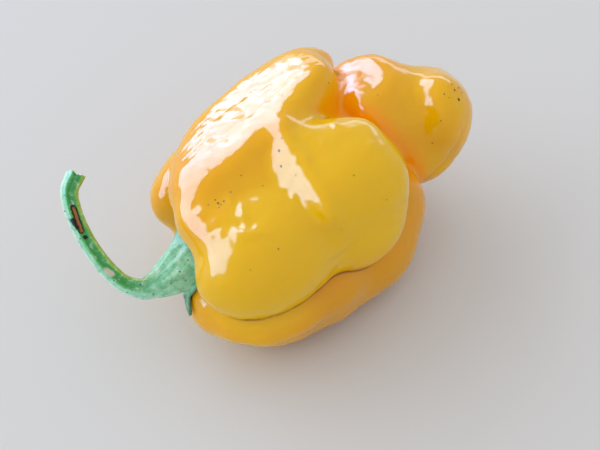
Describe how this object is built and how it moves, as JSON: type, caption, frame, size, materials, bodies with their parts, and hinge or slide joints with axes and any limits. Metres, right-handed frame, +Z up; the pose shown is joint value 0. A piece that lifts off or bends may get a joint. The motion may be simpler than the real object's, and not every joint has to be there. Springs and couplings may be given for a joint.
{
  "type": "chilli pepper",
  "caption": "Yellow lobed chilli pepper lying on its side, with folded glossy skin and a curved green stem on a small calyx.",
  "frame": {"origin": "centre of the whole pepper's footprint box, on the surface it lies on", "axes": "+Z up; +X from the cut stem end towards the pod's tip, in the direction of the longest extent; +Y away from the side with the low front lobes"},
  "size_m": [0.0582, 0.0454, 0.0289],
  "materials": {
    "pod_skin": "waxy, glossy",
    "stem_skin": "satin"
  },
  "bodies": {
    "root": {"pod": "pod_skin", "stem": "stem_skin"}
  },
  "joints": []
}
